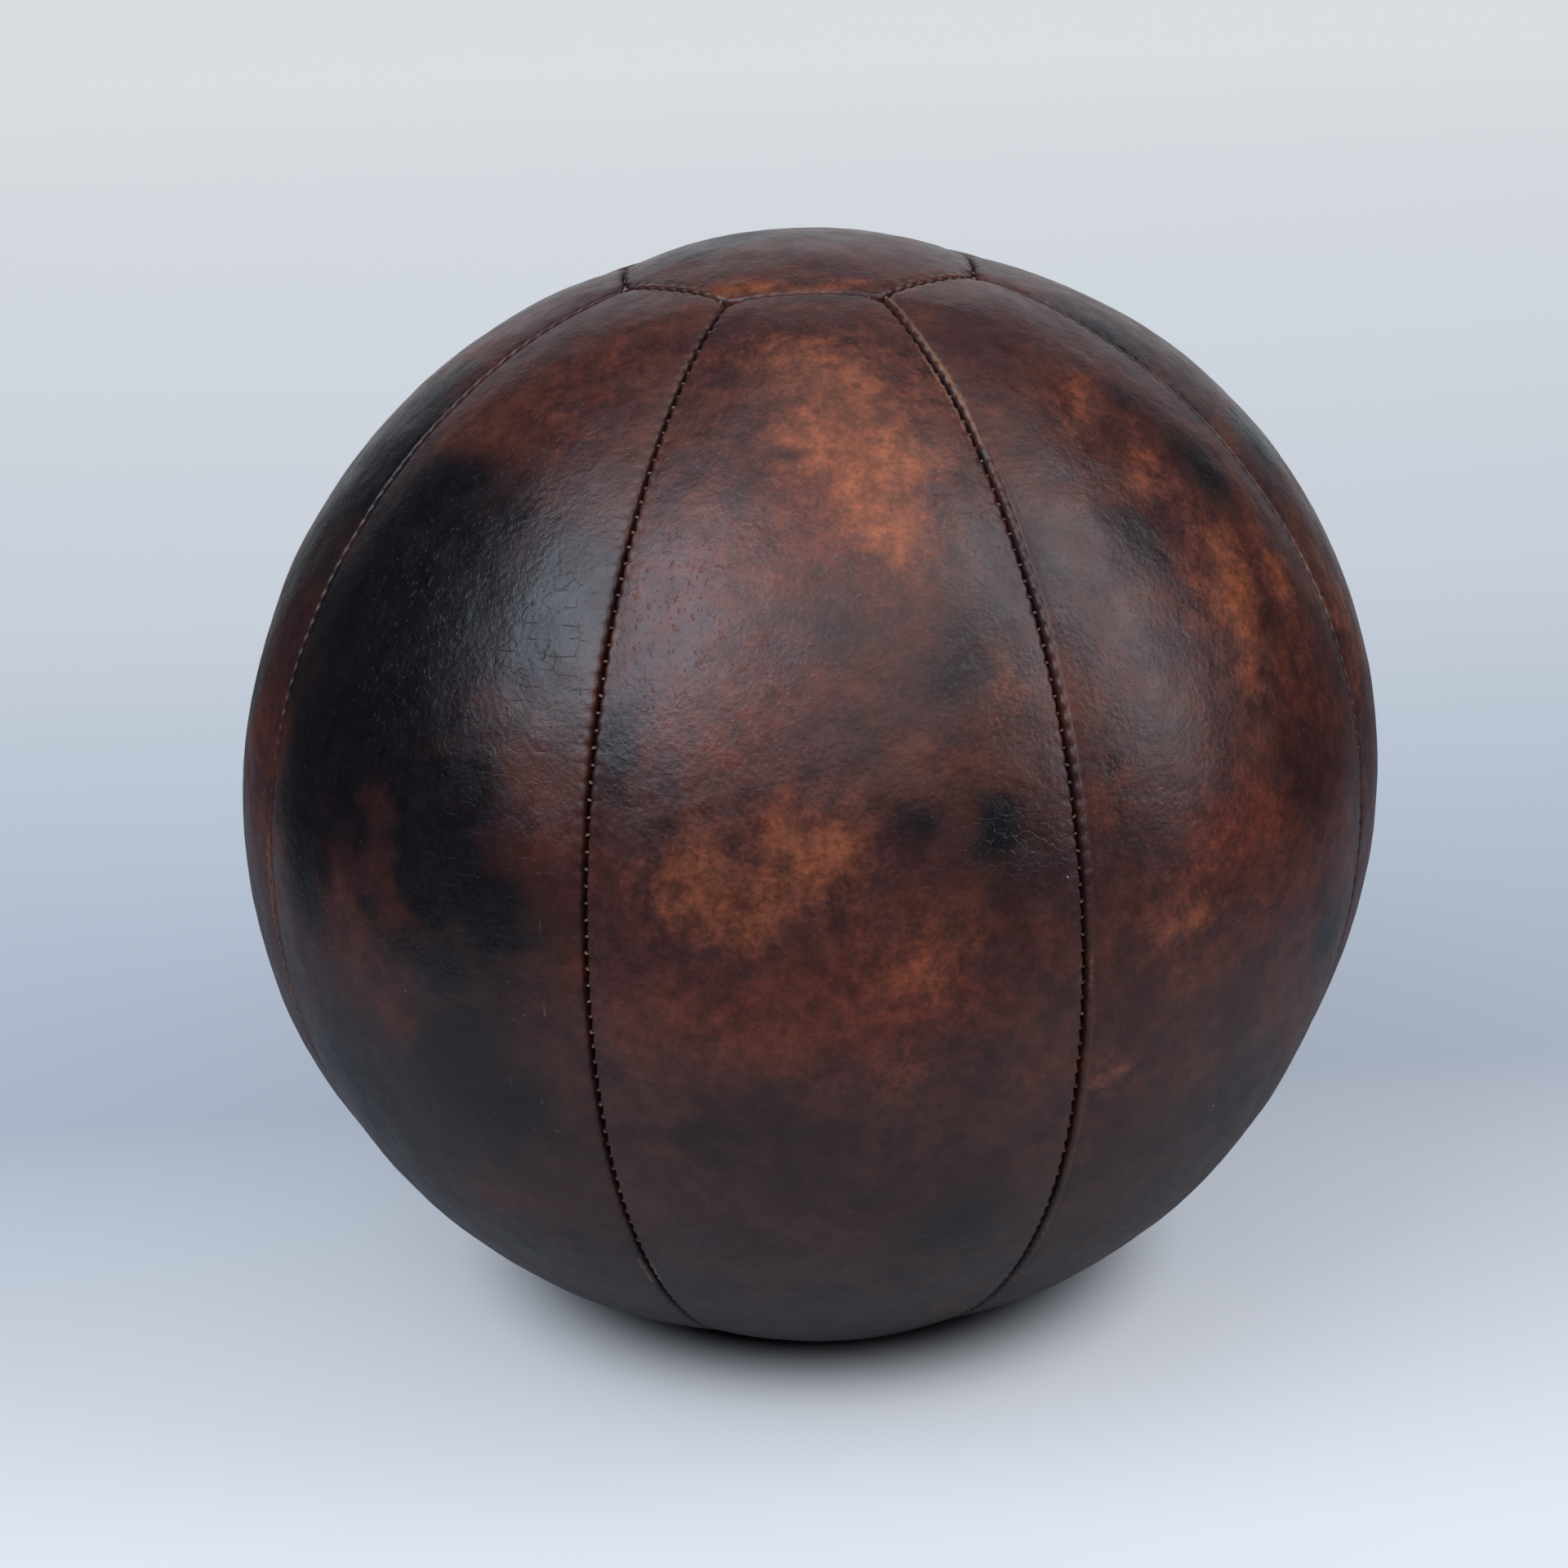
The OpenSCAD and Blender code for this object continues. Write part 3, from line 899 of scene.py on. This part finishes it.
def leather_material():
    """Old polished leather: stained, smoked, rubbed pale in places and finely scratched, with painted shade
    along its creases and on its lower half.
    """
    n = Nodes(bpy.data.materials.new("leather"))
    tan, red, soot_and_shade, worn = n.layer("stain")
    wrinkle, fleck, crease_edge_shade, cracked = n.layer("finish")
    cloud = n.noise(CLOUDS, 5, 0.6, distortion=0.6)
    mottle = n.noise(MOTTLES, 5, 0.62)
    speckle = n.noise(SPECKLES, 4, 0.65)
    centred_speckle = n.math("SUBTRACT", speckle, 0.5)
    grain = n.cells(GRAINS).outputs["Distance"]

    def torn(mask, low, high, coarse=0.5, fine=0.35):
        """A painted mask with its edge broken up by the grain."""
        value = n.math("MULTIPLY_ADD", n.math("SUBTRACT", mottle, 0.5), coarse, mask)
        value = n.math("MULTIPLY_ADD", centred_speckle, fine, value)
        return n.ramp(value, low, high)

    colour = n.mix(n.ramp(cloud, 0.35, 0.68), PLUM, BROWN)
    colour = n.mix(n.times(torn(red, 0.0, 1.05), 0.85), colour, RED)
    colour = n.mix(n.times(torn(tan, 0.1, 1.15), 0.9), colour, TAN)
    # soot stains, and painted shade on the lower half and underneath
    colour = n.mix(n.times(torn(soot_and_shade, 0.1, 0.85, 0.3, 0.2), 0.96), colour, SOOT_AND_SHADE_BLACK)
    shade = n.ramp(mottle, 0.3, 0.7, 0.72, 1.25)
    shade = n.times(shade, n.ramp(speckle, 0.3, 0.7, 0.86, 1.14))
    tint = n.tree.nodes.new("ShaderNodeCombineColor")
    for socket in tint.inputs:
        n.put(socket, shade)
    colour = n.mix(1.0, colour, tint.outputs[0], "MULTIPLY")
    dark_pore = n.ramp(n.noise(PORES, 2, 0.6), 0.60, 0.72)
    colour = n.mix(n.times(dark_pore, 0.35), colour, SOOT_AND_SHADE_BLACK)
    worn_edge = n.ramp(n.math("ADD", worn, centred_speckle), 0.3, 0.9)
    colour = n.mix(n.times(worn_edge, 0.55), colour, PALE_TAN)

    scratch = 0.0
    for scale, turn, shows in SCRATCHES:
        streak = n.noise(1.0, 2, 0.5, vector=n.stretched(scale, turn))
        scratch = n.math("MAXIMUM", scratch, n.ramp(streak, shows, shows + 0.035))
    scratch = n.times(scratch, n.ramp(n.noise(38, 3), 0.45, 0.68))
    colour = n.mix(n.times(scratch, 0.42), colour, PALE_TAN)

    tall = n.noise(1.0, 3, 0.6, vector=n.stretched((900, 900, 330)))
    pale_fleck = n.times(n.ramp(tall, 0.55, 0.72), n.math("ADD", fleck, 0.10))
    clean = n.math("SUBTRACT", 1.0, soot_and_shade, clamp=True)
    colour = n.mix(n.times(n.times(pale_fleck, clean), 0.2), colour, PALE_TAN)

    specks = n.cells(150)
    dot = n.ramp(specks.outputs["Distance"], 0.045, 0.02)
    chosen = n.ramp(n.channels(specks.outputs["Color"])[0], 0.965, 0.97, smooth=False)
    dot = n.times(dot, chosen)
    colour = n.mix(n.times(dot, 0.7), colour, DUST)
    # painted shade: the leather goes black along the edge of each crease
    colour = n.mix(n.times(crease_edge_shade, 0.85), colour, SOOT_AND_SHADE_BLACK)

    roughness = n.ramp(n.noise(120, 4), 0.3, 0.7, 0.28, 0.38)
    roughness = n.math("MULTIPLY_ADD", centred_speckle, 0.20, roughness)
    roughness = n.math("MULTIPLY_ADD", n.times(soot_and_shade, soot_and_shade), -0.05, roughness)
    roughness = n.math("MULTIPLY_ADD", crease_edge_shade, 0.3, roughness, clamp=True)

    normal = n.bump(grain, GRAIN_HEIGHT, 0.5)
    normal = n.bump(speckle, SPECKLE_HEIGHT, 0.6, under=normal)
    chips = n.times(n.ramp(tall, 0.56, 0.80), n.math("ADD", fleck, 0.10))
    normal = n.bump(chips, CHIP_HEIGHT, 0.8, under=normal)
    wobble = n.texture("Noise", Scale=260).outputs["Color"]
    bent = n.vector("MULTIPLY_ADD", wobble, (0.003, 0.003, 0.003), n.coords)
    net = n.cells(330, "DISTANCE_TO_EDGE", vector=bent).outputs["Distance"]
    crease = n.times(n.ramp(net, 0.0, 0.09, -1.0, 0.0), wrinkle)
    normal = n.bump(crease, CREASE_HEIGHT, 0.8, under=normal)
    bricks = n.cells(1.0, "DISTANCE_TO_EDGE", vector=n.stretched((150, 150, 300)), randomness=0.35)
    crack = n.ramp(n.math("MULTIPLY_ADD", speckle, 0.08, bricks.outputs["Distance"]), 0.035, 0.08, -1.0, 0.0)
    crack = n.times(crack, n.ramp(n.noise(170, 3), 0.42, 0.60))
    normal = n.bump(n.times(crack, cracked), CRACK_HEIGHT, 0.8, under=normal)
    normal = n.bump(scratch, SCRATCH_HEIGHT, 0.5, under=normal)
    return n.finish(colour, roughness, normal, IOR=1.45)


def woven_material(name, light, dark, threads, fuzz):
    """Plain woven cloth. Threads is the scale of its weave, and fuzz how rough its surface is."""
    n = Nodes(bpy.data.materials.new(name))
    waves = []
    for direction in ("X", "Y", "Z"):
        wave = n.texture("Wave", Scale=threads, Distortion=0.6, Detail=1.0)
        wave.bands_direction = direction
        waves.append(wave.outputs["Fac"])
    weave = n.times(waves[0], n.math("MAXIMUM", waves[1], waves[2]))
    stain = n.noise(40, 5, 0.6)
    colour = n.mix(n.ramp(weave, 0.0, 0.8), dark, light)
    colour = n.mix(n.ramp(stain, 0.4, 0.75, 0.0, 0.5), colour, dark)
    normal = n.bump(weave, 0.0003, 0.7)
    normal = n.bump(n.noise(1600, 3), 0.0002, fuzz, under=normal)
    return n.finish(colour, n.ramp(stain, 0.3, 0.7, 0.8, 0.95), normal, Sheen_Weight=0.2)


def fibre_material(name, light, dark):
    """Matted fibres lying every way."""
    n = Nodes(bpy.data.materials.new(name))
    strands = n.noise(1.0, 5, 0.7, vector=n.stretched((160, 900, 500), (0.4, 0.7, 0.2)), distortion=1.5)
    cross = n.noise(1.0, 5, 0.7, vector=n.stretched((900, 180, 600), (0.9, 0.1, 0.5)), distortion=1.5)
    mat = n.math("MAXIMUM", strands, cross)
    colour = n.mix(n.ramp(mat, 0.4, 0.7), dark, light)
    normal = n.bump(mat, 0.0008, 0.9)
    return n.finish(colour, n.ramp(mat, 0.3, 0.7, 0.85, 0.98), normal, Sheen_Weight=0.3)


def thread_material():
    """Waxed linen thread, twisted and dirty."""
    n = Nodes(bpy.data.materials.new("waxed_thread"))
    twist = n.noise(1.0, 2, 0.5, vector=n.stretched((1400, 1400, 3000), (0.6, 0.4, 0.0)))
    dirt = n.noise(60, 4)
    colour = n.mix(n.ramp(twist, 0.35, 0.65), THREAD_DARK, THREAD_LIGHT)
    colour = n.mix(n.ramp(dirt, 0.4, 0.65, 0.0, 0.8), colour, THREAD_DIRT)
    return n.finish(colour, n.ramp(twist, 0.3, 0.7, 0.5, 0.7), n.bump(twist, 0.0002, 0.8))


leather = leather_material()
thread = thread_material()
canvas = woven_material("canvas", (0.42, 0.35, 0.24), (0.20, 0.15, 0.10), 260, 0.4)
rag = woven_material("rag", (0.30, 0.29, 0.28), (0.12, 0.11, 0.12), 190, 0.7)
hair = fibre_material("hair", (0.22, 0.16, 0.11), (0.05, 0.035, 0.025))


def filling_material(node):
    """The material of a CAD piece that stays in the visual model, or None for one that is replaced."""
    if "lining" in node:
        return canvas
    return {"stuffing": hair, "rag_core": rag}.get(node)


for node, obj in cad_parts.items():
    chosen = filling_material(node)
    if chosen:
        obj.data.materials.clear()
        obj.data.materials.append(chosen)


def register(piece, node, material):
    """Puts a piece in the visual model, in place of a CAD node."""
    piece.data.materials.append(material)
    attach(piece, "root")
    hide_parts(node)


for i in range(1, GORES + 1):
    gore = make_gore(i)
    register(gore, f"gore_panel_{i}", leather)
    seam_turn = FIRST_GORE + (i - 0.5) * GORE_TURN
    seam_way = np.array([math.cos(seam_turn), math.sin(seam_turn), 0.0])
    stitches = make_stitches(f"stitches_gore_seam_{i}",
                             [(seam_way, np.array([0.0, 0.0, 1.0]), RADIUS * CORNER_UP - SEAM_MARGIN)])
    register(stitches, f"gore_seam_thread_{i}", thread)

for end, flip in (("top", False), ("bottom", True)):
    cap = make_cap(f"{end}_cap_panel", flip)
    register(cap, f"{end}_cap_panel", leather)
    stitches = make_stitches(f"stitches_{end}_cap", seam_runs_of_cap(-1 if flip else 1))
    register(stitches, f"{end}_cap_thread", thread)

# -------- stage
FLOOR_FAR = 9.0
TABLE_LEFT, TABLE_RIGHT = -0.50, 0.50
TABLE_FRONT, TABLE_BACK = -0.36, 0.70
# how much the paper glows beside the ball and far behind it
NEAR_GLOW, FAR_GLOW = 0.60, 0.74
# distances from the middle of the ball's shade, over which the paper's glow and its colour return
SHADOW_START, SHADOW_END = 0.068, 0.110
CONTACT_START, CONTACT_END = 0.060, 0.095
# share of the paper's own glow that shows in the leather
MIRRORED_GLOW = 0.05
# the ball's shade lies a little behind the spot it rests on
SHADOW_BACK = 0.02
PAPER_DARKENING = (0.48, 0.48, 0.48)
# how pale the sweep is at each distance behind the ball's middle, in metres; the greyer tones just behind the
# ball are painted shade
FLOOR_TONES = (
    (-0.40, (0.78, 0.80, 0.83)),
    (-0.15, (0.72, 0.74, 0.78)),
    (0.04, (0.52, 0.56, 0.63)),
    (0.085, (0.47, 0.51, 0.59)),
    (0.115, (0.42, 0.47, 0.56)),
    (0.30, (0.47, 0.53, 0.62)),
    (0.75, (0.62, 0.66, 0.72)),
    (3.60, (0.78, 0.81, 0.84)),
)
SWEEP_START, SWEEP_END = -0.40, 3.60


def floor_material():
    """Pale paper that glows, a little greyer just behind the ball as painted shade, with a painted shadow
    round the ball's foot.
    """
    n = Nodes(bpy.data.materials.new("paper"))
    split = n.tree.nodes.new("ShaderNodeSeparateXYZ")
    n.put(split.inputs[0], n.coords)
    depth = n.math("MULTIPLY_ADD", split.outputs["X"], -0.03, split.outputs["Y"])
    ramp_node = n.tree.nodes.new("ShaderNodeValToRGB")
    stops = ramp_node.color_ramp.elements
    while len(stops) < len(FLOOR_TONES):
        stops.new(0.5)
    for stop, (where, tone) in zip(stops, FLOOR_TONES):
        share = (where - SWEEP_START) / (SWEEP_END - SWEEP_START)
        stop.position = math.sqrt(share)
        stop.color = (*tone, 1.0)
    share = n.math("SQRT", n.ramp(depth, SWEEP_START, SWEEP_END, smooth=False))
    n.put(ramp_node.inputs[0], share)
    n.put(n.shader.inputs["Emission Color"], ramp_node.outputs[0])
    from_shade = n.vector("LENGTH", n.vector("SUBTRACT", n.coords, (0, SHADOW_BACK, 0)))
    # painted shadow: the paper glows less round the ball's foot
    glow = n.times(n.ramp(depth, 0.1, 1.6, NEAR_GLOW, FAR_GLOW),
                   n.ramp(from_shade, SHADOW_START, SHADOW_END))
    ray_kind = n.tree.nodes.new("ShaderNodeLightPath")
    mirrored = n.ramp(ray_kind.outputs["Is Glossy Ray"], 0.0, 1.0, 1.0, MIRRORED_GLOW)
    n.put(n.shader.inputs["Emission Strength"], n.times(glow, mirrored))
    paper_colour = n.mix(1.0, ramp_node.outputs[0], PAPER_DARKENING, "MULTIPLY")
    # painted shadow: the paper's colour goes to black close to the ball's foot
    contact_shadow = n.ramp(from_shade, CONTACT_START, CONTACT_END)
    paper_colour = n.mix(contact_shadow, SOOT_AND_SHADE_BLACK, paper_colour)
    return n.finish(paper_colour, 0.9, Specular_IOR_Level=0.1)


paper = floor_material()


def add_floor(name, rectangles):
    """Flat stage, as rectangles given by their lowest x and y and highest x and y."""
    points, faces = [], []
    for x0, y0, x1, y1 in rectangles:
        faces.append(tuple(range(len(points), len(points) + 4)))
        points += [(x0, y0, 0.0), (x1, y0, 0.0), (x1, y1, 0.0), (x0, y1, 0.0)]
    obj = build_mesh(name, points, faces)
    obj.data.materials.append(paper)
    return obj


add_floor("table", [(TABLE_LEFT, TABLE_FRONT, TABLE_RIGHT, TABLE_BACK)])
# the stage beyond the lit table shows, but is too dark in the real room to be mirrored in the leather
surround = add_floor("surround", [
    (-FLOOR_FAR, -FLOOR_FAR, FLOOR_FAR, TABLE_FRONT),
    (-FLOOR_FAR, TABLE_BACK, FLOOR_FAR, FLOOR_FAR),
    (-FLOOR_FAR, TABLE_FRONT, TABLE_LEFT, TABLE_BACK),
    (TABLE_RIGHT, TABLE_FRONT, FLOOR_FAR, TABLE_BACK),
])
surround.visible_glossy = False
surround.visible_diffuse = False

# -------- light
# name: direction from the ball's middle, distance, width, height, watts, colour
LAMPS = {
    "window_left": ((-0.510, -0.510, 0.690), 1.33, 0.92, 0.95, 14.0, (0.72, 0.86, 1.0)),
    "window_right": ((0.780, -0.340, 0.540), 1.30, 0.42, 1.30, 7.6, (0.84, 0.92, 1.0)),
    "front_wall": ((0.150, -0.760, 0.640), 1.40, 1.20, 1.00, 4.6, (0.98, 0.92, 0.95)),
}
SKY_STRENGTH = 0.80
SKY_SOFTNESS = math.radians(66)
SKY_WAY = Vector((0.12, -0.16, 1.0))
SKY_TINT = (0.97, 0.98, 1.0)


def add_lamp(name, way, distance, width, height, watts, tint):
    """A rectangular lamp that faces the ball."""
    data = bpy.data.lights.new(name, "AREA")
    data.shape = "RECTANGLE"
    data.size = width
    data.size_y = height
    data.energy = watts
    data.color = tint
    lamp = bpy.data.objects.new(name, data)
    direction = Vector(way).normalized()
    lamp.location = ball_centre + direction * distance
    lamp.rotation_mode = "QUATERNION"
    lamp.rotation_quaternion = direction.to_track_quat("Z", "Y")
    bpy.context.scene.collection.objects.link(lamp)


for name, (way, distance, width, height, watts, tint) in LAMPS.items():
    add_lamp(name, way, distance, width, height, watts, tint)

sky_data = bpy.data.lights.new("tent_top", "SUN")
sky_data.energy = SKY_STRENGTH
sky_data.angle = SKY_SOFTNESS
sky_data.color = SKY_TINT
sky = bpy.data.objects.new("tent_top", sky_data)
sky.rotation_mode = "QUATERNION"
sky.rotation_quaternion = SKY_WAY.normalized().to_track_quat("Z", "Y")
bpy.context.scene.collection.objects.link(sky)

# the room round the ball: dark, with a pale wall behind; the camera sees the pale wall all round
WALL_TINT = (0.82, 0.88, 0.95, 1.0)
WALL_WAY, WALL_START, WALL_FULL = (0.08, 0.985, 0.15), 0.75, 0.98
FLOOR_WAY, FLOOR_START, FLOOR_FULL = (0.0, -0.50, -0.87), 0.2, 0.95
ROOM_DARK, WALL_GLOW, SEEN_GLOW = 0.03, 0.70, 0.80
FLOOR_GLOW = 0.26


def light_room():
    """Makes the world, whose glow depends on the way it is looked at."""
    world = bpy.data.worlds.new("room")
    bpy.context.scene.world = world
    n = Nodes(world, "Generated")
    background = n.tree.nodes["Background"]
    background.inputs["Color"].default_value = WALL_TINT
    wall = n.ramp(n.vector("DOT_PRODUCT", n.coords, WALL_WAY), WALL_START, WALL_FULL, ROOM_DARK, WALL_GLOW)
    floor = n.ramp(n.vector("DOT_PRODUCT", n.coords, FLOOR_WAY), FLOOR_START, FLOOR_FULL, 0.0, FLOOR_GLOW,
                   smooth=False)
    ray = n.tree.nodes.new("ShaderNodeLightPath")
    seen = n.tree.nodes.new("ShaderNodeMix")
    n.put(seen.inputs[0], ray.outputs["Is Camera Ray"])
    n.put(seen.inputs[2], n.math("ADD", wall, floor))
    n.put(seen.inputs[3], SEEN_GLOW)
    n.put(background.inputs["Strength"], seen.outputs[0])


light_room()
